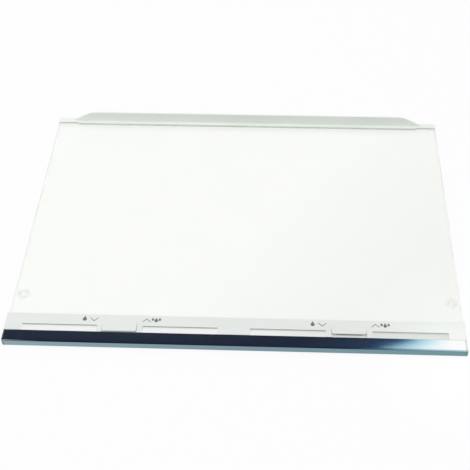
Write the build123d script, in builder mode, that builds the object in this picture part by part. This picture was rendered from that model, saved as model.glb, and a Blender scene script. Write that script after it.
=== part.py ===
from build123d import *
import os

os.makedirs("parts", exist_ok=True)

# Refrigerator shelf: a glass pane between a front trim with two humidity vents and a rear trim
# with a stop edge. Millimetres, +X to the right, +Y to the back, +Z up.
# The origin is the bottom centre of the whole shelf.

# Overall sizes
shelf_width = 487.0  # over the end caps
shelf_depth = 348.0  # front face of the strip to the back of the rear trim

# Glass pane
glass_thickness = 4.0
glass_inset = 0.5  # glass edge inside the overall width, each side
glass_corner = 3.0  # corner radius seen from above
glass_edge = 1.5  # ground rounding round both faces
glass_play = 0.1  # glass to the walls over and under it
edge_play = 0.3  # glass edge to the web it faces

# Walls round the glass, the same at the front and at the back
foot_height = 1.6  # rib that stands below the lower lip
lower_lip = 1.8  # wall under the glass

# Metal strip over the nose of the front trim
strip_depth = 13.7  # top leg, front to back
strip_return = 7.0  # leg under the nose
strip_gauge = 0.8
strip_inside_bend = 0.8  # inner radius of both folds
strip_play = 0.1  # strip to the nose inside it
strip_groove = 0.3  # back edge of the strip to the band

# Front trim
band_depth = 22.2  # top of the trim behind the strip
band_wall = 2.4  # top wall over the glass
band_edge = 0.8  # rounding of the back edge of the band
nose_wall = 2.0
nose_flange = 1.7  # wall under the nose
nose_flange_depth = 7.1
foot_wall = 1.6
web_wall = 1.5  # wall in front of the glass edge
trim_end_overlap = 0.6  # end wall of the duct past the inner face of the end cap
guide_count = 6  # fingers under the shutters, with a gusset each
guide_width = 3.0
guide_margin = 22.0  # last guide to the end of the trim
guide_hold = 2.2  # guide under the front edge of a shutter that is pushed back

# End caps of the nose and its strip
cap_wall = 2.0
cap_play = 0.1  # cap to the band behind it
cap_edge = 0.4  # rounding of the outer face
tenon_depth = 7.8
tenon_length = 8.0
tenon_play = 0.2

# Vents, one on each side of the shelf: two recesses with a mouth each, and a tab between them
vent_end_margin = 18.4  # recess to the end of the trim
vent_middle_gap = 34.4  # between the two vents
recess_depth = 8.3  # front to back
recess_front_drop = 0.3  # floor below the top of the band
recess_back_drop = 1.6
curtain_wall = 1.4  # wall at the back of the recess, which the mouths go through
mouth_lip = 0.35  # top wall left over a mouth
bridge_width = 6.2  # band left between a tab and a recess

# Tabs
tab_width = 36.5
tab_depth = 12.2
tab_thickness = 1.4  # at its front
tab_back_thickness = 0.6
tab_front_corner = 2.4
tab_back_corner = 1.0
tab_edge = 0.3
tab_setback = 0.5  # tab to the front of the band when it is pulled forward
tab_play = 0.1  # tab to the band under it
pocket_drop = 1.5  # floor under the front of the tab, below the top of the band
pocket_play = 0.3  # pocket past each side of the tab
stem_width = 26.0
stem_thickness = 2.0
stem_play = 0.3
tongue_width = 7.0
tongue_spread = 15.0  # between the middles of the two tongues
tongue_play = 0.1
slider_travel = 3.2
stop_play = 0.2  # clear at both ends of the travel

# Shutters
shutter_thickness = 1.4
shutter_depth = 7.5
shutter_bevel = 0.5
shutter_overlap = 1.5  # past the outer end of a mouth
shutter_slide_play = 0.3  # shutter to the guide fingers
shutter_headroom = 0.5  # shutter to the lower edge of the curtain

# Rear trim
rear_inset = 1.0  # trim end inside the overall width, each side
rear_web = 2.0
rear_flange = 1.4  # wall over the glass
rear_flange_depth = 8.5
rear_flange_end_depth = 7.0
rear_flange_end_length = 24.5
rear_lower_depth = 5.6  # wall under the glass, left out at both ends
upstand_height = 12.2  # stop edge above the flange
upstand_lean = 2.4  # towards the back
upstand_wall = 1.6
upstand_margin = 16.5  # foot of the stop edge to the end of the trim
upstand_taper = 26.0
upstand_corner = 30.0
upstand_edge = 0.6

# Bumper pads under the glass
pad_diameter = 14.5
pad_height = 2.4
pad_dimple = 5.0  # diameter of the hollow in the middle
pad_dimple_depth = 1.0
pad_edge = 1.0
pad_film = 0.1  # adhesive between a pad and the glass
pad_side = 9.7  # middle of a pad to the overall side
pad_behind_front = 66.0

# Heights
seat_z = foot_height + lower_lip
glass_z = seat_z + glass_play
glass_top_z = glass_z + glass_thickness
lip_z = glass_top_z + glass_play
top_z = lip_z + band_wall
nose_bottom_z = strip_gauge + strip_play
nose_top_z = top_z - strip_gauge - strip_play
guide_z = nose_bottom_z + nose_flange
shutter_z = guide_z + shutter_slide_play
shutter_top_z = shutter_z + shutter_thickness
curtain_z = shutter_top_z + shutter_headroom
floor_front_z = top_z - recess_front_drop
floor_back_z = top_z - recess_back_drop
tab_z = top_z + tab_play
pad_top_z = glass_z - pad_film
rear_top_z = lip_z + rear_flange
strip_bend = strip_inside_bend + strip_gauge

# Distances behind the front face
nose_front = strip_gauge + strip_play
nose_inside = nose_front + nose_wall
nose_flange_end = nose_front + nose_flange_depth
band_front = strip_depth + strip_groove
band_back = band_front + band_depth
recess_back = band_front + recess_depth
curtain_back = recess_back + curtain_wall
web_front = recess_back + slider_travel + stop_play
web_back = web_front + web_wall
glass_front = web_back + edge_play
tab_front = band_front + tab_setback
stem_back = curtain_back - stem_play - slider_travel
stem_front = stem_back - stem_thickness
glass_back = shelf_depth - rear_web - edge_play
shutter_front = recess_back - shutter_depth
guide_end = shutter_front + slider_travel + guide_hold

# Along the width
front_y = -shelf_depth / 2
nose_length = shelf_width - 2 * cap_wall
trim_end_wall = cap_wall + trim_end_overlap
vent_length = (shelf_width - 2 * vent_end_margin - vent_middle_gap) / 2
vent_centre = (vent_middle_gap + vent_length) / 2
recess_inner = tab_width / 2 + bridge_width
recess_middle = (recess_inner + vent_length / 2) / 2
recess_half = (vent_length / 2 - recess_inner) / 2
rear_length = shelf_width - 2 * rear_inset
pad_x = shelf_width / 2 - pad_side
sides = {"left": -1, "right": 1}
pushed_back = {"left": 0.0, "right": slider_travel}  # where each slider stands


def behind(distance):
    """Y of a point at this distance behind the front face."""
    return front_y + distance


def section(points, x=0.0):
    """Closed face across the width at x, from (distance behind the front face, height) points."""
    with BuildSketch(Plane.YZ.offset(x)) as profile:
        with BuildLine():
            Polyline(*[(behind(distance), height) for distance, height in points], close=True)
        make_face()
    return profile.sketch


def box_points(front, back, bottom, top):
    """Corners of an upright rectangular section."""
    return [(front, bottom), (back, bottom), (back, top), (front, top)]


# Glass pane
with BuildPart() as glass_pane:
    with BuildSketch(Plane.XY.offset(glass_z)):
        with Locations((0, behind((glass_front + glass_back) / 2))):
            RectangleRounded(shelf_width - 2 * glass_inset, glass_back - glass_front, glass_corner)
    extrude(amount=glass_thickness)
    fillet(faces().filter_by(Axis.Z).edges(), glass_edge)
glass_pane.part.label = "glass_pane"
export_step(glass_pane.part, "parts/glass_pane.step")

# Front trim: nose, band, curtain over the duct, glass channel and foot in one section
trim_points = [
    (nose_front, nose_bottom_z),
    (nose_front, nose_top_z),
    (band_front, nose_top_z),
    (band_front, top_z),
    (band_back, top_z),
    (band_back, lip_z),
    (web_back, lip_z),
    (web_back, seat_z),
    (band_back, seat_z),
    (band_back, 0),
    (band_back - foot_wall, 0),
    (band_back - foot_wall, foot_height),
    (web_front, foot_height),
    (web_front, lip_z),
    (curtain_back, lip_z),
    (curtain_back, curtain_z),
    (recess_back, curtain_z),
    (recess_back, lip_z),
    (band_front, lip_z),
    (band_front, nose_top_z - nose_wall),
    (nose_inside, nose_top_z - nose_wall),
    (nose_inside, guide_z),
    (nose_flange_end, guide_z),
    (nose_flange_end, nose_bottom_z),
]
recess_points = [
    (band_front, floor_front_z),
    (band_front, top_z),
    (recess_back, top_z),
    (recess_back, floor_back_z),
]
gusset_points = [
    (nose_inside, guide_z),
    (nose_inside, nose_top_z - nose_wall),
    (band_front, nose_top_z - nose_wall),
    (nose_flange_end, guide_z),
]
trim_end_points = box_points(band_front, web_back, nose_bottom_z, top_z)
nose_end_points = box_points(0, band_front, 0, top_z)
guide_pitch = (shelf_width - 2 * guide_margin) / (guide_count - 1)
mouth_top_z = top_z - mouth_lip
vent_places = [(side * vent_centre, 0, 0) for side in sides.values()]

# One guide: a finger under the shutter, and a gusset inside the nose
with BuildPart() as guide:
    extrude(
        section(box_points(nose_flange_end, guide_end, nose_bottom_z, guide_z)),
        amount=guide_width / 2,
        both=True,
    )
    extrude(section(gusset_points), amount=guide_width / 2, both=True)

# The hollow of one vent: two recesses, each with its mouth and the flue behind it,
# and the pocket of the tab with a hole for its stem
with BuildPart() as vent_hollow:
    for hollow_points in (
        recess_points,
        box_points(recess_back, curtain_back, floor_back_z, mouth_top_z),
        box_points(curtain_back, web_front, curtain_z, mouth_top_z),
    ):
        for hand in (-1, 1):
            extrude(section(hollow_points, hand * recess_middle), amount=recess_half, both=True)
    extrude(
        section(box_points(band_front, recess_back, top_z - pocket_drop, top_z)),
        amount=tab_width / 2 + pocket_play,
        both=True,
    )
    extrude(
        section(box_points(stem_front - stem_play, curtain_back, shutter_top_z, top_z)),
        amount=stem_width / 2 + stem_play,
        both=True,
    )

with BuildPart() as front_trim:
    extrude(section(trim_points), amount=shelf_width / 2, both=True)
    long_edges = edges().filter_by(Axis.X)
    fillet(long_edges.group_by(Axis.Z)[-1].sort_by(Axis.Y)[-1], band_edge)
    fillet(long_edges.group_by(Axis.Y)[0], strip_inside_bend)
    with GridLocations(guide_pitch, 0, guide_count, 1):
        add(guide.part)
    for side in sides.values():
        end_x = side * shelf_width / 2
        extrude(section(trim_end_points, end_x), amount=-side * trim_end_wall)
        extrude(section(nose_end_points, end_x), amount=-side * cap_wall, mode=Mode.SUBTRACT)
    with Locations(*vent_places):
        add(vent_hollow.part, mode=Mode.SUBTRACT)
front_trim.part.label = "front_trim"
export_step(front_trim.part, "parts/front_trim.step")

# Metal strip: one folded sheet round the nose
with BuildPart() as front_strip:
    with BuildSketch(Plane.YZ):
        with BuildLine():
            FilletPolyline(
                (behind(strip_return), 0),
                (front_y, 0),
                (front_y, top_z),
                (behind(strip_depth), top_z),
                radius=strip_bend,
            )
            offset(amount=strip_gauge, side=Side.RIGHT)
        make_face()
    extrude(amount=nose_length / 2, both=True)
front_strip.part.label = "front_strip"
export_step(front_strip.part, "parts/front_strip.step")

# End caps: the outline of the strip, and a tenon into the nose
cap_back = band_front - cap_play
tenon_points = box_points(
    nose_inside + tenon_play,
    nose_inside + tenon_play + tenon_depth,
    guide_z + tenon_play,
    nose_top_z - nose_wall - tenon_play,
)
for name, side in sides.items():
    inner_x = side * nose_length / 2
    with BuildPart() as end_cap:
        extrude(section(box_points(0, cap_back, 0, top_z), inner_x), amount=side * cap_wall)
        fillet(edges().filter_by(Axis.X).group_by(Axis.Y)[0], strip_bend)
        outer_face = faces().filter_by(Axis.X).sort_by(Axis.X)[-1 if side > 0 else 0]
        fillet(outer_face.edges(), cap_edge)
        extrude(section(tenon_points, inner_x), amount=-side * tenon_length)
    end_cap.part.label = f"end_cap_{name}"
    export_step(end_cap.part, f"parts/end_cap_{name}.step")

# Tabs: a wedge that slides on the band, on a stem with two tongues that hold the shutter
for name, side in sides.items():
    centre = side * vent_centre
    shift = pushed_back[name]
    stem_y = behind((stem_front + stem_back) / 2 + shift)
    front = tab_front + shift
    back = front + tab_depth
    wedge_points = [
        (front, tab_z),
        (front, tab_z + tab_thickness),
        (back, tab_z + tab_back_thickness),
        (back, tab_z),
    ]
    with BuildPart() as tab:
        extrude(section(wedge_points, centre), amount=tab_width / 2, both=True)
        fillet(edges().filter_by(Axis.Z).group_by(Axis.Y)[0], tab_front_corner)
        fillet(edges().filter_by(Axis.Z).group_by(Axis.Y)[-1], tab_back_corner)
        fillet(faces().sort_by(Axis.Z)[-1].edges(), tab_edge)
        with BuildSketch(Plane.XY.offset(tab_z)):
            with Locations((centre, stem_y)):
                Rectangle(stem_width, stem_thickness)
        extrude(amount=shutter_top_z - tab_z)
        with BuildSketch(Plane.XY.offset(shutter_top_z)):
            with Locations((centre - tongue_spread / 2, stem_y), (centre + tongue_spread / 2, stem_y)):
                Rectangle(tongue_width, stem_thickness)
        extrude(amount=-shutter_thickness)
    tab.part.label = f"tab_{name}"
    export_step(tab.part, f"parts/tab_{name}.step")

# Shutters: the blade that covers the duct behind the mouths when its tab is pushed back
for name, side in sides.items():
    centre = side * vent_centre
    shift = pushed_back[name]
    stem_y = behind((stem_front + stem_back) / 2 + shift)
    with BuildPart() as shutter:
        with BuildSketch(Plane.XY.offset(shutter_z)):
            with Locations((centre, behind(shutter_front + shutter_depth / 2 + shift))):
                Rectangle(vent_length + 2 * shutter_overlap, shutter_depth)
            with Locations((centre - tongue_spread / 2, stem_y), (centre + tongue_spread / 2, stem_y)):
                Rectangle(
                    tongue_width + 2 * tongue_play,
                    stem_thickness + 2 * tongue_play,
                    mode=Mode.SUBTRACT,
                )
        extrude(amount=shutter_thickness)
        long_edges = faces().sort_by(Axis.Z)[-1].outer_wire().edges().filter_by(Axis.X)
        chamfer(long_edges, shutter_bevel)
    shutter.part.label = f"shutter_{name}"
    export_step(shutter.part, f"parts/shutter_{name}.step")

# Rear trim: glass channel with a foot, and a stop edge that leans back and tapers at both ends
rear_points = [
    (shelf_depth, 0),
    (shelf_depth, rear_top_z),
    (shelf_depth - rear_flange_depth, rear_top_z),
    (shelf_depth - rear_flange_depth, lip_z),
    (shelf_depth - rear_web, lip_z),
    (shelf_depth - rear_web, seat_z),
    (shelf_depth - rear_lower_depth, seat_z),
    (shelf_depth - rear_lower_depth, foot_height),
    (shelf_depth - rear_web, foot_height),
    (shelf_depth - rear_web, 0),
]
rear_end_cuts = [
    box_points(shelf_depth - rear_flange_depth, shelf_depth - rear_flange_end_depth, lip_z, rear_top_z),
    box_points(shelf_depth - rear_lower_depth, shelf_depth - rear_web, foot_height, seat_z),
]
upstand_foot = shelf_depth - upstand_lean - upstand_wall
upstand_plane = Plane(
    origin=(0, behind(upstand_foot), rear_top_z),
    x_dir=(1, 0, 0),
    z_dir=(0, -upstand_height, upstand_lean),
)
upstand_slope = (upstand_height**2 + upstand_lean**2) ** 0.5
foot_half = rear_length / 2 - upstand_margin
upstand_points = [
    (-foot_half, 0),
    (foot_half, 0),
    (foot_half - upstand_taper, upstand_slope),
    (upstand_taper - foot_half, upstand_slope),
]

with BuildPart() as rear_trim:
    extrude(section(rear_points), amount=rear_length / 2, both=True)
    for side in sides.values():
        end_x = side * (rear_length - rear_flange_end_length) / 2
        end_half = rear_flange_end_length / 2
        for cut_points in rear_end_cuts:
            extrude(section(cut_points, end_x), amount=end_half, both=True, mode=Mode.SUBTRACT)
    with BuildSketch(upstand_plane):
        with BuildLine():
            Polyline(*upstand_points, close=True)
        make_face()
        fillet(vertices().group_by(Axis.Y)[-1], upstand_corner)
    extrude(amount=-upstand_wall * upstand_height / upstand_slope)
    fillet(edges().group_by(Axis.Z)[-1], upstand_edge)
rear_trim.part.label = "rear_trim"
export_step(rear_trim.part, "parts/rear_trim.step")

# Bumper pads: soft discs stuck under the glass, hollow in the middle
for name, side in sides.items():
    with BuildPart() as bumper:
        with BuildSketch(Plane.XY.offset(pad_top_z)):
            with Locations((side * pad_x, behind(pad_behind_front))):
                Circle(pad_diameter / 2)
        extrude(amount=-pad_height)
        chamfer(faces().sort_by(Axis.Z)[0].edges(), pad_edge)
        with BuildSketch(Plane.XY.offset(pad_top_z - pad_height)):
            with Locations((side * pad_x, behind(pad_behind_front))):
                Circle(pad_dimple / 2)
        extrude(amount=pad_dimple_depth, mode=Mode.SUBTRACT)
    bumper.part.label = f"bumper_{name}"
    export_step(bumper.part, f"parts/bumper_{name}.step")
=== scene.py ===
"""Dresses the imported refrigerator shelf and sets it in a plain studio."""

import logging
import math
from collections.abc import Callable, Sequence
from dataclasses import dataclass
from enum import Enum
from typing import Any

import bmesh
import bpy
from mathutils import Matrix, Vector

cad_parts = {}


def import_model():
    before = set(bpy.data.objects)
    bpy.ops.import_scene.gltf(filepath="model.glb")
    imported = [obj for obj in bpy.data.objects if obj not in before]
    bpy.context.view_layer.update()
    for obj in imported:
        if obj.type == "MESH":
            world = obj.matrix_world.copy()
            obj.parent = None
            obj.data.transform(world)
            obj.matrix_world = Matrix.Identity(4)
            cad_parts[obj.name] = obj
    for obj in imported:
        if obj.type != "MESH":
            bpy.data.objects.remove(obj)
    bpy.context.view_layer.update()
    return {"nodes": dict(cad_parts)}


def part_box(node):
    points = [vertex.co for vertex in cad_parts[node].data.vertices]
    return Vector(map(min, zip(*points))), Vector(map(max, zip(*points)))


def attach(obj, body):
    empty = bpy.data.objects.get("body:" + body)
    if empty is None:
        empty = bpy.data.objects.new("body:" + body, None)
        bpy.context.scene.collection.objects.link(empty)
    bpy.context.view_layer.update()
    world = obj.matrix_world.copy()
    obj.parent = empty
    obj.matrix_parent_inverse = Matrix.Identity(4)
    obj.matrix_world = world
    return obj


LOG = logging.getLogger("shelf")

Colour = tuple[float, float, float]
Point = tuple[float, float, float]
Span = tuple[float, float]
Socket = bpy.types.NodeSocket

MM = 0.001
ORIGIN: Point = (0, 0, 0)
WHITE: Colour = (1.0, 1.0, 1.0)
# Most values of a noise lie in this span
NOISE_SPAN: Span = (0.3, 0.7)
# Rays that look for an edge to round
EDGE_SAMPLES = 4
# In a printed mark, points this close to each other are one, and points this close to X = 0 lie on it
MERGE_DISTANCE = 0.0005 * MM
ON_MIDDLE = 0.01 * MM


class Axis(Enum):
    """The shelf's axes: across it, to its back and up."""

    X = "X"
    Y = "Y"
    Z = "Z"


class Operation(Enum):
    """The steps of arithmetic that the finishes use."""

    ADD = "ADD"
    SUBTRACT = "SUBTRACT"
    MULTIPLY = "MULTIPLY"
    MAXIMUM = "MAXIMUM"
    ABSOLUTE = "ABSOLUTE"


class Side(Enum):
    """The two sides of the shelf, seen from the front."""

    LEFT = "left"
    RIGHT = "right"


def srgb(red: int, green: int, blue: int) -> Colour:
    """Turns screen levels into a linear colour.

    Args:
        red: red level, 0 to 255.
        green: green level, 0 to 255.
        blue: blue level, 0 to 255.

    Returns:
        The linear colour.
    """

    def linear(level: int) -> float:
        """One channel by the sRGB curve, from screen level to linear value."""
        value = level / 255
        return value / 12.92 if value <= 0.04045 else ((value + 0.055) / 1.055) ** 2.4

    return linear(red), linear(green), linear(blue)


def scaled(colour: Colour, factor: float) -> Colour:
    """A colour made darker or lighter, up to white."""
    return tuple(min(1.0, channel * factor) for channel in colour)


def opaque(colour: Socket | Colour) -> Any:
    """A colour as an input takes it: an output as it is, a plain colour with its opacity."""
    return colour if isinstance(colour, Socket) else (*colour, 1)


class Nodes:
    """A node tree, with short calls that add its nodes and join them."""

    def __init__(self, tree: bpy.types.NodeTree) -> None:
        """Takes over a tree and empties it."""
        self.tree = tree
        self.tree.nodes.clear()

    def put(self, socket: Socket, value: Any) -> None:
        """Joins an output to an input, or sets the input's own value.

        Args:
            socket: the input.
            value: an output, or a number, a vector or a colour with its opacity.
        """
        if isinstance(value, Socket):
            self.tree.links.new(value, socket)
        else:
            socket.default_value = value

    def add(self, kind: str, values: dict[Any, Any] | None = None, **settings: Any) -> bpy.types.Node:
        """Adds a node.

        Args:
            kind: the node's type name, without the ShaderNode prefix.
            values: what goes into each input, by the input's name or index.
            settings: properties of the node itself.

        Returns:
            The node.
        """
        node = self.tree.nodes.new("ShaderNode" + kind)
        for name, setting in settings.items():
            setattr(node, name, setting)
        for key, value in (values or {}).items():
            self.put(node.inputs[key], value)
        return node

    def calculate(self, operation: Operation, *terms: Socket | float) -> Socket:
        """One step of arithmetic on one or two terms."""
        return self.add("Math", dict(enumerate(terms)), operation=operation.value).outputs["Value"]

    def remap(self, value: Socket, source: Span, target: Span = (0.0, 1.0), **settings: Any) -> Socket:
        """Carries a value from one span to another, and stops it at the ends.

        Args:
            value: the value.
            source: the span that it is read in.
            target: the span that it is carried to.
            settings: properties of the node itself.

        Returns:
            The new value.
        """
        names = ("From Min", "From Max", "To Min", "To Max")
        values = {"Value": value, **dict(zip(names, (*source, *target)))}
        return self.add("MapRange", values, **settings).outputs["Result"]

    def between(self, noise: Socket, target: Span) -> Socket:
        """Noise drawn out to lie between two values."""
        return self.remap(noise, NOISE_SPAN, target)

    def place(self, scale: Point = (1, 1, 1)) -> Socket:
        """Object coordinates, each axis multiplied by its scale."""
        coordinates = self.add("TexCoord").outputs["Object"]
        return self.add("Mapping", {"Vector": coordinates, "Scale": scale}).outputs["Vector"]

    def coordinate(self, axis: Axis) -> Socket:
        """The object coordinate along one axis."""
        return self.add("SeparateXYZ", {"Vector": self.place()}).outputs[axis.value]

    def from_middle(self) -> Socket:
        """How far a point is from the shelf's middle, to either side."""
        return self.calculate(Operation.ABSOLUTE, self.coordinate(Axis.X))

    def noise(self, place: Socket, scale: float, detail: float = 2.0) -> Socket:
        """Noise between 0 and 1 at a place, by its frequency per metre and its finer layers."""
        values = {"Vector": place, "Scale": scale, "Detail": detail}
        return self.add("TexNoise", values).outputs["Fac"]

    def ramp(self, factor: Socket, places: Sequence[float], colours: Sequence[Colour]) -> Socket:
        """A run of colours.

        Args:
            factor: the value that drives it.
            places: where each colour stands, in order.
            colours: the colours.

        Returns:
            The colour at the factor.
        """
        node = self.add("ValToRGB", {"Fac": factor})
        elements = node.color_ramp.elements
        while len(elements) < len(colours):
            elements.new(0.5)
        for element, place, colour in zip(elements, places, colours):
            element.position = place
            element.color = opaque(colour)
        return node.outputs["Color"]

    def mix(self, factor: Socket, first: Socket | Colour, second: Socket | Colour) -> Socket:
        """Mixes two colours.

        Args:
            factor: 0 for the first colour and 1 for the second.
            first: the first colour, or an output that gives it.
            second: the second colour, or an output that gives it.

        Returns:
            The mixed colour.
        """
        node = self.add("Mix", data_type="RGBA")
        inputs = {socket.identifier: socket for socket in node.inputs}
        self.put(inputs["Factor_Float"], factor)
        self.put(inputs["A_Color"], opaque(first))
        self.put(inputs["B_Color"], opaque(second))
        return next(socket for socket in node.outputs if socket.identifier == "Result_Color")

    def soft_normal(self, height: Socket, depth: float, strength: float, radius: float) -> Socket:
        """Normals with rounded edges and a fine relief.

        Args:
            height: the relief.
            depth: how deep it is, in metres.
            strength: how much of it shows.
            radius: rounding of the edges, in metres.

        Returns:
            The normals.
        """
        edge = self.add("Bevel", {"Radius": radius}, samples=EDGE_SAMPLES).outputs["Normal"]
        values = {"Height": height, "Distance": depth, "Strength": strength, "Normal": edge}
        return self.add("Bump", values).outputs["Normal"]

    def seen(self) -> Socket:
        """Tells what is seen, straight, in gloss or through glass, from what only lights.

        Returns:
            1 for a ray that sees and 0 for one that only lights.
        """
        path = self.add("LightPath").outputs
        direct = self.calculate(Operation.MAXIMUM, path["Is Camera Ray"], path["Is Glossy Ray"])
        return self.calculate(Operation.MAXIMUM, direct, path["Is Transmission Ray"])

    def glow(self, colour: Socket | Colour) -> Socket:
        """A surface that shows its colour by itself, unlit."""
        return self.add("Emission", {"Color": opaque(colour), "Strength": 1.0}).outputs["Emission"]

    def principled(self, values: dict[str, Any]) -> Socket:
        """A lit surface, from what goes into each of its inputs."""
        return self.add("BsdfPrincipled", values).outputs["BSDF"]

    def mix_surfaces(self, factor: Socket, first: Socket, second: Socket) -> Socket:
        """Mixes two surfaces: 0 gives the first and 1 the second."""
        return self.add("MixShader", {0: factor, 1: first, 2: second}).outputs["Shader"]


class Shader(Nodes):
    """The node tree of a new material."""

    def __init__(self, name: str) -> None:
        """Starts an empty material.

        Args:
            name: the material's name.
        """
        self.material = bpy.data.materials.new(name)
        self.material.use_nodes = True
        super().__init__(self.material.node_tree)

    def finish(self, surface: Socket) -> bpy.types.Material:
        """Joins the surface to the output, and gives the material."""
        self.add("OutputMaterial", {"Surface": surface})
        return self.material


@dataclass(frozen=True)
class Hollow:
    """The smooth floor of the recesses, below the top of a moulding and in front of its curtain, painted
    with light and shade: lighter than the moulding, and greyed by painted shade towards the right end.
    """

    colours: tuple[Colour, Colour]
    run: Span
    top: float
    back: float
    blur: float = 0.12 * MM

    def colour(self, shader: Shader) -> Socket:
        """The floor's painted light and shade: lighter than the moulding over the left half, greying
        slowly from the middle towards the right end with painted shade.
        """
        return shader.ramp(shader.remap(shader.coordinate(Axis.X), self.run), (0.0, 1.0), self.colours)

    def mask(self, shader: Shader) -> Socket:
        """Where the hollow lies.

        Args:
            shader: the material that is made.

        Returns:
            1 in the hollow and 0 outside it.
        """
        inside = [
            shader.remap(shader.coordinate(axis), (limit - self.blur, limit), (1.0, 0.0))
            for axis, limit in ((Axis.Z, self.top), (Axis.Y, self.back))
        ]
        return shader.calculate(Operation.MULTIPLY, *inside)


@dataclass(frozen=True)
class SatinMoulding:
    """Injection-moulded plastic with a fine spark-eroded grain."""

    name: str
    colour: Colour
    drift: float = 0.025
    drift_stretch: Point = (1, 3, 3)
    drift_scale: float = 14
    drift_detail: float = 3
    roughness: Span = (0.4, 0.5)
    gloss_scale: float = 700
    grain_scale: float = 2600
    grain_depth: float = 0.02 * MM
    grain_strength: float = 0.35
    edge: float = 0.25 * MM
    ior: float = 1.49
    # Recess floors that get painted light and shade in place of the moulding's colour
    hollow: Hollow | None = None

    def clouded(self, shader: Shader) -> Socket:
        """The colour, drifting slowly along the moulding.

        Args:
            shader: the material that is made.

        Returns:
            The colour.
        """
        cloud = shader.noise(shader.place(self.drift_stretch), self.drift_scale, self.drift_detail)
        darker = scaled(self.colour, 1 - self.drift)
        lighter = scaled(self.colour, 1 + self.drift)
        return shader.ramp(cloud, NOISE_SPAN, (darker, lighter))

    def material(self) -> bpy.types.Material:
        """The plastic: slow colour drift, grain in the relief and the gloss, soft edges, and painted
        light and shade on any recess floors.

        Returns:
            The material.
        """
        shader = Shader(self.name)
        place = shader.place()
        grain = shader.noise(place, self.grain_scale)
        colour = self.clouded(shader)
        if self.hollow:
            # Painted light and shade on the recess floors
            colour = shader.mix(self.hollow.mask(shader), colour, self.hollow.colour(shader))
        plastic = shader.principled(
            {
                "Base Color": colour,
                "Roughness": shader.between(shader.noise(place, self.gloss_scale), self.roughness),
                "Normal": shader.soft_normal(grain, self.grain_depth, self.grain_strength, self.edge),
                "IOR": self.ior,
            }
        )
        return shader.finish(plastic)


@dataclass(frozen=True)
class PolishedMetal:
    """Bright metal with fine polishing lines along it, and painted shade for the gap of the joint where
    it has an end.
    """

    name: str
    colour: Colour
    roughness: Span = (0.035, 0.06)
    line_stretch: Point = (4, 2200, 2200)
    line_scale: float = 1
    line_detail: float = 3
    line_depth: float = 0.002 * MM
    line_strength: float = 0.03
    patch_stretch: Point = (1, 4, 4)
    patch_scale: float = 9
    patch_shade: float = 0.975
    end: float | None = None
    joint: float = 0.3 * MM
    joint_blur: float = 0.05 * MM
    # Painted shade of the gap between the strip and its caps
    joint_shadow_colour: Colour = srgb(60, 64, 68)

    def shade_joints(self, shader: Shader, colour: Socket) -> Socket:
        """Paints the shade of the joint's gap at both ends by darkening the colour.

        Args:
            shader: the material that is made.
            colour: the metal's colour.

        Returns:
            The colour with the joints.
        """
        start = self.end - self.joint
        mask = shader.remap(shader.from_middle(), (start, start + self.joint_blur))
        return shader.mix(mask, colour, self.joint_shadow_colour)

    def material(self) -> bpy.types.Material:
        """The metal: lines drawn out along X in the gloss and the relief.

        Returns:
            The material.
        """
        shader = Shader(self.name)
        lines = shader.noise(shader.place(self.line_stretch), self.line_scale, self.line_detail)
        patches = shader.noise(shader.place(self.patch_stretch), self.patch_scale)
        colour = shader.ramp(patches, NOISE_SPAN, (scaled(self.colour, self.patch_shade), self.colour))
        if self.end is not None:
            colour = self.shade_joints(shader, colour)
        relief = {"Height": lines, "Distance": self.line_depth, "Strength": self.line_strength}
        metal = shader.principled(
            {
                "Base Color": colour,
                "Metallic": 1.0,
                "Roughness": shader.between(lines, self.roughness),
                "Normal": shader.add("Bump", relief).outputs["Normal"],
            }
        )
        return shader.finish(metal)


@dataclass(frozen=True)
class ClearGlass:
    """Tempered float glass, clear over its faces and frosted along its ground sides."""

    name: str
    colour: Colour
    edge_colour: Colour
    half_width: float
    ground: float = 2.4 * MM
    ground_blur: float = 0.2 * MM
    ground_roughness: Span = (0.35, 0.5)
    ground_clarity: float = 0.6
    speckle_scale: float = 3000
    ior: float = 1.52
    shadow: Colour = (0.94, 0.97, 0.95)

    def material(self) -> bpy.types.Material:
        """The glass: its ground sides are rough and paler, and light goes through to the floor.

        Returns:
            The material.
        """
        shader = Shader(self.name)
        distance = shader.from_middle()
        start = self.half_width - self.ground
        rim = (start, start + self.ground_blur)
        edge = shader.remap(distance, rim)
        speckle = shader.noise(shader.place(), self.speckle_scale)
        roughness = shader.between(speckle, self.ground_roughness)
        glass = shader.principled(
            {
                "Base Color": shader.ramp(edge, (0.0, 1.0), (self.colour, self.edge_colour)),
                "Roughness": shader.calculate(Operation.MULTIPLY, edge, roughness),
                "IOR": self.ior,
                "Transmission Weight": shader.remap(distance, rim, (1.0, self.ground_clarity)),
            }
        )
        clear = shader.add("BsdfTransparent", {"Color": opaque(self.shadow)}).outputs["BSDF"]
        shadow_ray = shader.add("LightPath").outputs["Is Shadow Ray"]
        return shader.finish(shader.mix_surfaces(shadow_ray, glass, clear))


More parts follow.
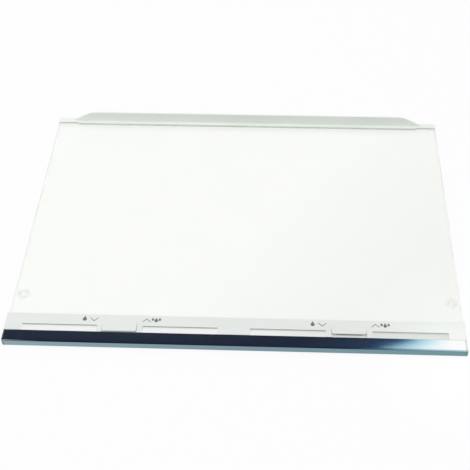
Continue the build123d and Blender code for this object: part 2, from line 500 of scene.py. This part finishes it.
@dataclass(frozen=True)
class ClearSilicone:
    """A soft clear rubber pad, mottled in the ring by which it holds to the glass."""

    name: str
    colour: Colour
    cloudy: Colour
    centre: Point
    body: Span
    ring: float = 4.4 * MM
    spread: float = 3.8 * MM
    cloud_scale: float = 360
    cloud_span: Span = (-0.3, 1.2)
    cloud_places: Span = (0.1, 0.5)
    roughness: Span = (0.24, 0.4)
    relief_depth: float = 0.03 * MM
    relief_strength: float = 0.3
    edge: float = 0.2 * MM
    ior: float = 1.41

    def spots(self, shader: Shader, cloud: Socket) -> Socket:
        """The cloudy spots, which lie in a ring round the pad's middle.

        Args:
            shader: the material that is made.
            cloud: the noise that scatters them.

        Returns:
            How cloudy each point is.
        """
        terms = {0: shader.place((1, 1, 0)), 1: (*self.centre[:2], 0)}
        radius = shader.add("VectorMath", terms, operation="DISTANCE").outputs["Value"]
        offset = shader.calculate(Operation.SUBTRACT, radius, self.ring)
        away = shader.calculate(Operation.ABSOLUTE, offset)
        ring = shader.remap(away, (self.spread, 0.0), interpolation_type="SMOOTHSTEP")
        return shader.calculate(Operation.MULTIPLY, ring, shader.between(cloud, self.cloud_span))

    def material(self) -> bpy.types.Material:
        """The silicone: thin enough to see through, with dark spots round the middle of the pad.

        Returns:
            The material.
        """
        shader = Shader(self.name)
        cloud = shader.noise(shader.place(), self.cloud_scale)
        spots = self.spots(shader, cloud)
        rubber = shader.principled(
            {
                "Base Color": shader.ramp(spots, self.cloud_places, (self.colour, self.cloudy)),
                "Roughness": shader.between(cloud, self.roughness),
                "Normal": shader.soft_normal(cloud, self.relief_depth, self.relief_strength, self.edge),
                "IOR": self.ior,
                "Alpha": shader.remap(spots, (0.0, 1.0), self.body),
            }
        )
        return shader.finish(rubber)


@dataclass(frozen=True)
class PadInk:
    """Pad-printed ink, slightly uneven."""

    name: str
    colour: Colour
    thin: float = 1.5
    spot_scale: float = 2200
    spot_detail: float = 3
    spot_places: Span = (0.35, 0.75)
    roughness: Span = (0.55, 0.4)

    def material(self) -> bpy.types.Material:
        """The ink: thin spots are lighter and glossier.

        Returns:
            The material.
        """
        shader = Shader(self.name)
        spots = shader.noise(shader.place(), self.spot_scale, self.spot_detail)
        colours = (self.colour, scaled(self.colour, self.thin))
        ink = shader.principled(
            {
                "Base Color": shader.ramp(spots, self.spot_places, colours),
                "Roughness": shader.between(spots, self.roughness),
            }
        )
        return shader.finish(ink)


@dataclass(frozen=True)
class PaleSweep:
    """Pale studio floor, white to the eye and in reflections, with its shadows kept."""

    name: str
    colour: Colour
    lift: float

    def material(self) -> bpy.types.Material:
        """The floor: part of it glows for the eye, for gloss and through glass.

        Returns:
            The material.
        """
        shader = Shader(self.name)
        share = shader.calculate(Operation.MULTIPLY, shader.seen(), self.lift)
        paper = shader.add("BsdfDiffuse", {"Color": opaque(self.colour)}).outputs["BSDF"]
        return shader.finish(shader.mix_surfaces(share, paper, shader.glow(WHITE)))


@dataclass(frozen=True)
class CardFinish:
    """The colours of a studio card, each at its distance in metres along one direction."""

    name: str
    stops: tuple[tuple[float, Colour], ...]
    streak: float = 0.0
    wave: Point = (1.2, 1, 24)
    wave_scale: float = 1.0
    direction: Point = (1, 0, 0)

    def material(self) -> bpy.types.Material:
        """The card: a run of colours along its direction, uneven by the streak.

        Returns:
            The material.
        """
        shader = Shader(self.name)
        terms = {0: shader.place(), 1: self.direction}
        along = shader.add("VectorMath", terms, operation="DOT_PRODUCT").outputs["Value"]
        wave = shader.noise(shader.place(self.wave), self.wave_scale)
        shift = shader.between(wave, (-self.streak, self.streak))
        distances, colours = zip(*self.stops)
        first, last = distances[0], distances[-1]
        run = shader.remap(shader.calculate(Operation.ADD, along, shift), (first, last))
        places = [(distance - first) / (last - first) for distance in distances]
        return shader.finish(shader.glow(shader.ramp(run, places, colours)))


class Workbench:
    """Hand modelling with Blender's own operators."""

    @staticmethod
    def clear() -> None:
        """Deselects everything."""
        bpy.ops.object.select_all(action="DESELECT")

    @classmethod
    def only(cls, piece: bpy.types.Object) -> None:
        """Selects one piece and makes it active.

        Args:
            piece: the piece.
        """
        cls.clear()
        piece.select_set(True)
        bpy.context.view_layer.objects.active = piece

    @staticmethod
    def pick(piece: bpy.types.Object, wanted: Callable[[Vector], bool]) -> None:
        """Selects the vertices of a piece in edit mode.

        Args:
            piece: the piece that is edited.
            wanted: a test on a vertex's place.
        """
        bpy.ops.mesh.select_mode(type="VERT")
        bpy.ops.mesh.select_all(action="DESELECT")
        mesh = bmesh.from_edit_mesh(piece.data)
        for vertex in mesh.verts:
            vertex.select = wanted(vertex.co)
        mesh.select_flush_mode()
        bmesh.update_edit_mesh(piece.data)

    @staticmethod
    def thicken(height: float) -> None:
        """Gives a flat outline in edit mode its thickness.

        Args:
            height: how far it is drawn up.
        """
        bpy.ops.mesh.select_all(action="SELECT")
        bpy.ops.mesh.extrude_region_move(TRANSFORM_OT_translate={"value": (0, 0, height)})
        bpy.ops.mesh.select_all(action="SELECT")
        bpy.ops.mesh.remove_doubles(threshold=MERGE_DISTANCE)
        bpy.ops.mesh.normals_make_consistent(inside=False)

    @classmethod
    def copy(
        cls, piece: bpy.types.Object, name: str, place: Point, size: float = 1.0, turn: float = 0.0
    ) -> bpy.types.Object:
        """Copies a piece, with its own mesh, and leaves its place in the mesh.

        Args:
            piece: the piece that is copied.
            name: the copy's name.
            place: where the copy goes, in metres.
            size: how much larger it is across, seen from above.
            turn: how far it is turned about Z, in degrees.

        Returns:
            The copy.
        """
        cls.only(piece)
        bpy.ops.object.duplicate(linked=False)
        copy = bpy.context.view_layer.objects.active
        copy.name = copy.data.name = name
        copy.location = place
        copy.rotation_euler = (0, 0, math.radians(turn))
        copy.scale = (size, size, 1)
        bpy.ops.object.transform_apply(location=True, rotation=True, scale=True)
        return copy

    @staticmethod
    def dress(piece: bpy.types.Object, material: bpy.types.Material) -> None:
        """Gives a piece one material.

        Args:
            piece: the piece.
            material: its material.
        """
        if not piece.material_slots:
            piece.data.materials.append(material)
        for slot in piece.material_slots:
            slot.material = material


@dataclass
class SubAssembly:
    """A group of pieces of the shelf that are dressed together."""

    nodes: dict[str, bpy.types.Object]

    def finishes(self) -> dict[str, bpy.types.Material]:
        """The material of each node, which each sub-assembly gives for itself."""
        raise NotImplementedError

    def dress(self) -> dict[str, bpy.types.Material]:
        """Gives each piece its finish.

        Returns:
            The material of each piece, by the piece's name.
        """
        finishes = self.finishes()
        for name, material in finishes.items():
            Workbench.dress(self.nodes[name], material)
        return finishes


@dataclass
class GlassShelf(SubAssembly):
    """The glass pane and the two clear pads stuck under it."""

    glass_colour: Colour = (0.942, 0.953, 0.925)
    edge_colour: Colour = (0.985, 0.99, 0.985)
    pad_colour: Colour = srgb(244, 246, 243)
    pad_cloudy: Colour = srgb(92, 98, 94)
    left_pad_body: Span = (0.04, 0.12)
    right_pad_body: Span = (0.015, 0.08)

    def glass(self) -> ClearGlass:
        """The pane's finish, as wide as the pane."""
        low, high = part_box("glass_pane")
        return ClearGlass("float_glass", self.glass_colour, self.edge_colour, (high[0] - low[0]) / 2)

    def silicone(self, node: str, body: Span) -> ClearSilicone:
        """The finish of one pad, centred on it.

        Args:
            node: the pad's node.
            body: how dense its clear and its cloudy parts are.

        Returns:
            The finish.
        """
        low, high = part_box(node)
        centre = tuple((low[axis] + high[axis]) / 2 for axis in range(3))
        return ClearSilicone(f"{node}_silicone", self.pad_colour, self.pad_cloudy, centre, body)

    def finishes(self) -> dict[str, bpy.types.Material]:
        """Clear glass for the pane, and silicone for each pad.

        Returns:
            The material of each node.
        """
        finishes = {"glass_pane": self.glass().material()}
        for side, body in ((Side.LEFT, self.left_pad_body), (Side.RIGHT, self.right_pad_body)):
            node = f"bumper_{side.value}"
            finishes[node] = self.silicone(node, body).material()
        return finishes


@dataclass
class FrontTrim(SubAssembly):
    """The front moulding, its metal strip and the caps at the strip's ends."""

    recess_below: float = 0.15 * MM
    recess_behind_front: float = 22.4 * MM
    # The recess floors' painted light at the middle, lighter than the moulding, and painted shade at the
    # right end
    recess_painted_light_and_shade: tuple[Colour, Colour] = (srgb(248, 250, 248), srgb(219, 225, 218))
    moulding_colour: Colour = srgb(237, 241, 238)
    moulding_roughness: Span = (0.26, 0.34)
    strip_colour: Colour = (0.985, 0.988, 0.99)
    caps: PolishedMetal = PolishedMetal("bright_caps", (0.95, 0.955, 0.96), (0.07, 0.12))

    def finishes(self) -> dict[str, bpy.types.Material]:
        """Satin moulding for the trim, and polished metal for the strip and its caps.

        Returns:
            The material of each node.
        """
        low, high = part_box("front_strip")
        hollow = Hollow(
            self.recess_painted_light_and_shade,
            run=(0.0, high[0]),
            top=high[2] - self.recess_below,
            back=low[1] + self.recess_behind_front,
        )
        moulding = SatinMoulding(
            "front_moulding", self.moulding_colour, roughness=self.moulding_roughness, hollow=hollow
        )
        # The strip's ends get painted shade for the gaps at their joints with the caps
        strip = PolishedMetal("polished_strip", self.strip_colour, end=high[0])
        finishes = {"front_trim": moulding.material(), "front_strip": strip.material()}
        caps = self.caps.material()
        for side in Side:
            finishes[f"end_cap_{side.value}"] = caps
        return finishes


@dataclass(frozen=True)
class DropMark:
    """A printed drop: a disc whose back is drawn out to a tip, in two steps and a point."""

    width: float = 4.4 * MM
    tip: float = 2.9 * MM
    corners: int = 32
    # Where each step starts, as a share of the radius, and how narrow it gets
    neck_start: float = 0.35
    neck_width: float = 0.62
    point_start: float = 0.9
    point_width: float = 0.45
    # How far each step is drawn out, as a share of the tip
    neck_reach: float = 0.3
    point_reach: float = 0.35

    def draw_out(self, width: float, reach: float) -> None:
        """Narrows what is selected, and moves it to the back."""
        bpy.ops.transform.resize(value=(width, 1, 1), center_override=ORIGIN)
        bpy.ops.transform.translate(value=(0, self.tip * reach, 0))

    def build(self, height: float) -> bpy.types.Object:
        """Models the drop, lying at the origin with its tip to the back.

        Args:
            height: the thickness of the print.

        Returns:
            The drop, which is copied for each mark.
        """
        Workbench.clear()
        radius = self.width / 2
        bpy.ops.mesh.primitive_circle_add(
            vertices=self.corners, radius=radius, fill_type="NGON", location=ORIGIN
        )
        drop = bpy.context.view_layer.objects.active
        bpy.ops.object.mode_set(mode="EDIT")
        neck = radius * self.neck_start
        Workbench.pick(drop, lambda place: place.y > neck)
        self.draw_out(self.neck_width, self.neck_reach)
        point = radius * self.point_start + self.tip * self.neck_reach
        Workbench.pick(drop, lambda place: place.y > point)
        self.draw_out(self.point_width, self.point_reach)
        Workbench.pick(drop, lambda place: abs(place.x) < ON_MIDDLE and place.y > 0)
        bpy.ops.transform.translate(value=(0, self.tip * self.point_reach, 0))
        Workbench.thicken(height)
        bpy.ops.object.mode_set(mode="OBJECT")
        return drop


@dataclass(frozen=True)
class ChevronMark:
    """A printed chevron: a bar that is cut in the middle and bent to a tip."""

    width: float = 8.4 * MM
    rise: float = 3.7 * MM
    line: float = 1.0 * MM

    def build(self, height: float) -> bpy.types.Object:
        """Models the chevron, lying at the origin with its tip to the back.

        Args:
            height: the thickness of the print.

        Returns:
            The chevron, which is copied for each mark.
        """
        Workbench.clear()
        bpy.ops.mesh.primitive_plane_add(size=1, location=ORIGIN)
        chevron = bpy.context.view_layer.objects.active
        bpy.ops.object.mode_set(mode="EDIT")
        bpy.ops.mesh.select_all(action="SELECT")
        bpy.ops.transform.resize(value=(self.width, self.line, 1), center_override=ORIGIN)
        bpy.ops.mesh.select_all(action="SELECT")
        bpy.ops.mesh.bisect(plane_co=ORIGIN, plane_no=(1, 0, 0))
        Workbench.pick(chevron, lambda place: abs(place.x) < ON_MIDDLE)
        bpy.ops.transform.translate(value=(0, self.rise, 0))
        bpy.ops.mesh.select_all(action="SELECT")
        bpy.ops.transform.translate(value=(0, -self.rise / 2, 0))
        Workbench.thicken(height)
        bpy.ops.object.mode_set(mode="OBJECT")
        return chevron


@dataclass
class Regulators(SubAssembly):
    """The two humidity regulators: tabs, shutters and the printed marks beside them."""

    tab: SatinMoulding = SatinMoulding("tab_moulding", srgb(235, 239, 234), roughness=(0.36, 0.46))
    shutter: SatinMoulding = SatinMoulding("shutter_moulding", srgb(236, 237, 235))
    ink: PadInk = PadInk("grey_ink", srgb(104, 108, 106))
    drop: DropMark = DropMark()
    chevron: ChevronMark = ChevronMark()
    print_height: float = 0.05 * MM
    print_behind_front: float = 29.4 * MM
    chevron_from_centre: float = 28.0 * MM
    drop_from_centre: float = 38.2 * MM
    # The group of three drops: the size of each, and how far the outer two stand off
    middle_drop: float = 0.9
    outer_drop: float = 0.62
    outer_drop_aside: float = 3.7 * MM
    outer_drop_back: float = 1.2 * MM

    def print_side(
        self, side: Side, drop: bpy.types.Object, chevron: bpy.types.Object
    ) -> list[bpy.types.Object]:
        """Prints the marks beside one tab on the band.

        Args:
            side: the tab's side.
            drop: the drop that is copied.
            chevron: the chevron that is copied.

        Returns:
            The printed marks.
        """
        low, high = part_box("front_strip")
        row, top = low[1] + self.print_behind_front, high[2]
        tab_low, tab_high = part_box(f"tab_{side.value}")
        centre = (tab_low[0] + tab_high[0]) / 2
        name = f"mark_{side.value}"
        dry, moist = centre - self.drop_from_centre, centre + self.drop_from_centre
        pull, push = centre - self.chevron_from_centre, centre + self.chevron_from_centre
        marks = [
            Workbench.copy(drop, f"{name}_dry", (dry, row, top)),
            Workbench.copy(chevron, f"{name}_pull", (pull, row, top), turn=180),
            Workbench.copy(chevron, f"{name}_push", (push, row, top)),
        ]
        for step, size in ((-1, self.outer_drop), (0, self.middle_drop), (1, self.outer_drop)):
            place = (moist + step * self.outer_drop_aside, row + abs(step) * self.outer_drop_back, top)
            marks.append(Workbench.copy(drop, f"{name}_moist_{step + 2}", place, size))
        return marks

    def build(self) -> list[bpy.types.Object]:
        """Models a drop and a chevron, and prints the marks of both regulators from them.

        Returns:
            The printed marks.
        """
        drop, chevron = self.drop.build(self.print_height), self.chevron.build(self.print_height)
        marks = [mark for side in Side for mark in self.print_side(side, drop, chevron)]
        for pattern in (drop, chevron):
            Workbench.only(pattern)
            bpy.ops.object.delete()
        return marks

    def finishes(self) -> dict[str, bpy.types.Material]:
        """Satin mouldings for the tabs and the shutters.

        Returns:
            The material of each node.
        """
        tab, shutter = self.tab.material(), self.shutter.material()
        finishes = {}
        for side in Side:
            finishes[f"tab_{side.value}"] = tab
            finishes[f"shutter_{side.value}"] = shutter
        return finishes

    def dress(self) -> dict[str, bpy.types.Material]:
        """Gives the tabs and the shutters their finishes, and prints the marks in ink.

        Returns:
            The material of each piece, by the piece's name.
        """
        finishes = super().dress()
        ink = self.ink.material()
        for mark in self.build():
            Workbench.dress(mark, ink)
            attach(mark, "shelf")
            finishes[mark.name] = ink
        return finishes


@dataclass
class RearTrim(SubAssembly):
    """The rear moulding with its stop edge."""

    moulding: SatinMoulding = SatinMoulding("rear_moulding", srgb(241, 247, 240), edge=0.3 * MM)

    def finishes(self) -> dict[str, bpy.types.Material]:
        """Satin moulding for the trim."""
        return {"rear_trim": self.moulding.material()}


@dataclass(frozen=True)
class PhotoCamera:
    """The camera at the photograph's angle, for a square picture; its angles are in degrees."""

    place: Point = (45.887 * MM, -706.263 * MM, 800.242 * MM)
    yaw: float = -2.636
    pitch: float = 48.085
    roll: float = -0.799
    lens_pixels: float = 909.9
    centre_pixels: Span = (16.7, 15.4)
    image_pixels: int = 470
    sensor: float = 36.0
    near: float = 10 * MM

    def turn(self) -> Matrix:
        """The camera's turn: yaw from +Y, pitch down, and roll about the view.

        Returns:
            The turn, with the camera's right, up and back as its columns.
        """
        yaw, pitch, roll = (math.radians(angle) for angle in (self.yaw, self.pitch, self.roll))
        across, along = math.sin(yaw) * math.cos(pitch), math.cos(yaw) * math.cos(pitch)
        forward = Vector((across, along, -math.sin(pitch)))
        level = Vector((math.cos(yaw), -math.sin(yaw), 0))
        upright = level.cross(forward)
        right = level * math.cos(roll) + upright * math.sin(roll)
        up = upright * math.cos(roll) - level * math.sin(roll)
        return Matrix((right, up, -forward)).transposed().to_4x4()

    def build(self) -> None:
        """Adds the camera and makes it the scene's own."""
        data = bpy.data.cameras.new("photo_camera")
        data.sensor_fit = "HORIZONTAL"
        data.sensor_width = self.sensor
        data.lens = self.lens_pixels / self.image_pixels * self.sensor
        data.shift_x, data.shift_y = (-pixels / self.image_pixels for pixels in self.centre_pixels)
        data.clip_start = self.near
        camera = bpy.data.objects.new("photo_camera", data)
        bpy.context.scene.collection.objects.link(camera)
        camera.matrix_world = Matrix.Translation(self.place) @ self.turn()
        bpy.context.scene.camera = camera


@dataclass(frozen=True)
class SoftLamp:
    """A square lamp that lights but isn't mirrored; power in watts, size in metres, spread in degrees."""

    name: str
    place: Point
    target: Point
    power: float
    size: float
    spread: float = 180.0

    def build(self) -> None:
        """Hangs the lamp in its place and points it at its target."""
        data = bpy.data.lights.new(self.name, "AREA")
        data.energy = self.power
        data.size = self.size
        data.spread = math.radians(self.spread)
        data.cycles.use_multiple_importance_sampling = False
        lamp = bpy.data.objects.new(self.name, data)
        bpy.context.scene.collection.objects.link(lamp)
        lamp.location = self.place
        view = Vector(self.target) - Vector(self.place)
        lamp.rotation_euler = view.to_track_quat("-Z", "Y").to_euler()
        lamp.visible_glossy = False


@dataclass
class Studio:
    """Pale floor, soft lamps, and the cards that the polished strip mirrors."""

    floor_size: float = 8.0
    floor: PaleSweep = PaleSweep("pale_floor", (0.93, 0.93, 0.93), 0.9)
    sky: float = 0.72
    lamps: tuple[SoftLamp, ...] = (
        SoftLamp("key", (-0.25, 0.15, 1.6), ORIGIN, power=6.6, size=1.0),
        SoftLamp(
            "right_fill", (0.235, -0.29, 0.2), (0.235, -0.172, 0), power=0.0065, size=0.05, spread=44.0
        ),
        SoftLamp("left_rim", (-0.9, -0.1, 0.03), (-0.24, -0.05, 0), power=0.9, size=0.06),
    )
    # The room that the cards make: half its width, its front, its back and its roof
    half_width: float = 1.3
    front: float = -3.0
    back: float = 1.0
    roof: float = 3.0
    # The cards at the back, from the wall's foot to the window's head
    wall_foot: float = 0.3
    window_foot: float = 1.6
    window_head: float = 1.752
    window_right: float = 0.66
    # How far the floor's cards lie above it, and how far the shaded-floor card, a painted reflection of
    # the floor's shade before the strip, reaches round the strip's front
    floor_clearance: float = 0.1 * MM
    shaded_floor_depth: float = 30 * MM
    shaded_floor_aside: float = 5 * MM
    shaded_floor_gap: float = 0.2 * MM
    window_finish: CardFinish = CardFinish(
        "window_finish",
        (
            (1.48, srgb(34, 42, 58)),
            (1.66, srgb(42, 55, 76)),
            (1.725, srgb(44, 60, 90)),
            (1.765, srgb(50, 70, 108)),
            (1.794, srgb(74, 112, 150)),
            (1.815, srgb(140, 192, 214)),
            (1.846, srgb(170, 215, 232)),
            (1.886, srgb(208, 239, 249)),
            (1.926, srgb(238, 252, 255)),
            (1.95, WHITE),
        ),
        streak=0.055,
        direction=(1, 0, 0.8),
    )
    back_finish: CardFinish = CardFinish(
        "back_finish",
        (
            (-1.0, srgb(28, 36, 50)),
            (0.38, srgb(32, 43, 60)),
            (0.48, srgb(62, 96, 114)),
            (0.58, srgb(200, 225, 232)),
            (0.64, WHITE),
        ),
    )
    wall_finish: CardFinish = CardFinish(
        "wall_finish",
        ((0.7, WHITE), (0.9, (0.62, 0.62, 0.62)), (1.25, (0.0, 0.0, 0.0))),
        direction=(1, 0, 0.64),
    )
    night_finish: CardFinish = CardFinish(
        "night_finish",
        (
            (-1.0, srgb(28, 36, 50)),
            (0.38, srgb(32, 43, 60)),
            (0.52, srgb(62, 96, 114)),
            (0.66, srgb(126, 166, 180)),
            (1.0, srgb(190, 216, 224)),
        ),
    )
    # Glowing greys for the strip's front to mirror: painted reflection of the shaded floor before the
    # strip
    shaded_floor_finish: CardFinish = CardFinish(
        "shaded_floor_card",
        ((-0.25, srgb(142, 166, 175)), (0.0, srgb(126, 149, 161)), (0.25, srgb(118, 151, 157))),
    )

    def build_floor(self) -> None:
        """Adds the floor under the shelf."""
        Workbench.clear()
        bpy.ops.mesh.primitive_plane_add(size=self.floor_size, location=ORIGIN)
        floor = bpy.context.view_layer.objects.active
        floor.name = floor.data.name = "floor"
        Workbench.dress(floor, self.floor.material())

    def build_sky(self) -> None:
        """Lights the scene softly from all round, white to the eye, in gloss and through glass."""
        world = bpy.data.worlds.new("studio")
        world.use_nodes = True
        nodes = Nodes(world.node_tree)
        strength = nodes.remap(nodes.seen(), (0.0, 1.0), (self.sky, 1.0))
        background = nodes.add("Background", {"Color": opaque(WHITE), "Strength": strength})
        nodes.add("OutputWorld", {"Surface": background.outputs["Background"]})
        bpy.context.scene.world = world

    def build_card(self, name: str, finish: CardFinish, low: Point, high: Point) -> None:
        """Adds a card that only gloss sees.

        Args:
            name: the card's name.
            finish: its colours.
            low: its lowest corner.
            high: its highest corner; an upright card is flat along Y, and any other along Z.
        """
        Workbench.clear()
        bpy.ops.mesh.primitive_plane_add(size=1, location=ORIGIN)
        card = bpy.context.view_layer.objects.active
        card.name = card.data.name = name
        width, depth, height = (high[axis] - low[axis] for axis in range(3))
        upright = depth == 0
        card.rotation_euler = (math.pi / 2 if upright else 0, 0, 0)
        card.scale = (width, height if upright else depth, 1)
        card.location = [(high[axis] + low[axis]) / 2 for axis in range(3)]
        bpy.ops.object.transform_apply(location=True, rotation=True, scale=True)
        card.visible_camera = card.visible_diffuse = card.visible_shadow = False
        card.visible_transmission = card.visible_volume_scatter = False
        Workbench.dress(card, finish.material())

    def build_cards(self) -> None:
        """Sets up the dark room with its window, and the glowing card before the strip that stands in for
        the floor's shade there as a painted reflection.
        """
        low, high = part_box("front_strip")
        left, right = -self.half_width, self.half_width
        front, back, roof = self.front, self.back, self.roof
        ground, shaded_floor_front = self.floor_clearance, low[1] - self.shaded_floor_depth
        night = (
            ("night_roof", (left, front, roof), (right, back, roof)),
            ("night_front", (left, front, 0.0), (right, front, roof)),
            ("night_ground", (left, front, ground), (right, shaded_floor_front, ground)),
        )
        for name, corner, opposite in night:
            self.build_card(name, self.night_finish, corner, opposite)
        foot, head, edge = self.window_foot, self.window_head, self.window_right
        self.build_card("night_back", self.back_finish, (left, back, head), (right, back, roof))
        self.build_card("window_card", self.window_finish, (left, back, foot), (edge, back, head))
        self.build_card("wall_card", self.wall_finish, (left, back, self.wall_foot), (right, back, foot))
        # A glowing card on the floor before the strip: painted reflection of the floor's shade
        self.build_card(
            "shaded_floor_card",
            self.shaded_floor_finish,
            (low[0] - self.shaded_floor_aside, shaded_floor_front, ground),
            (high[0] + self.shaded_floor_aside, low[1] - self.shaded_floor_gap, ground),
        )

    def build(self) -> None:
        """Sets up the floor, the sky, the lamps and the cards."""
        bpy.context.scene.view_settings.view_transform = "Standard"
        self.build_floor()
        self.build_sky()
        for lamp in self.lamps:
            lamp.build()
        self.build_cards()


def main() -> None:
    """Loads the frame, dresses each sub-assembly, and sets the camera and the studio."""
    logging.basicConfig(level=logging.INFO, format="%(message)s")
    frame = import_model()
    nodes = frame["nodes"]
    for assembly in (GlassShelf(nodes), FrontTrim(nodes), Regulators(nodes), RearTrim(nodes)):
        for piece, finish in assembly.dress().items():
            LOG.info("%s: %s", piece, finish.name)
    PhotoCamera().build()
    Studio().build()
    LOG.info("studio: camera, floor, sky, lamps and cards")


if __name__ == "__main__":
    main()
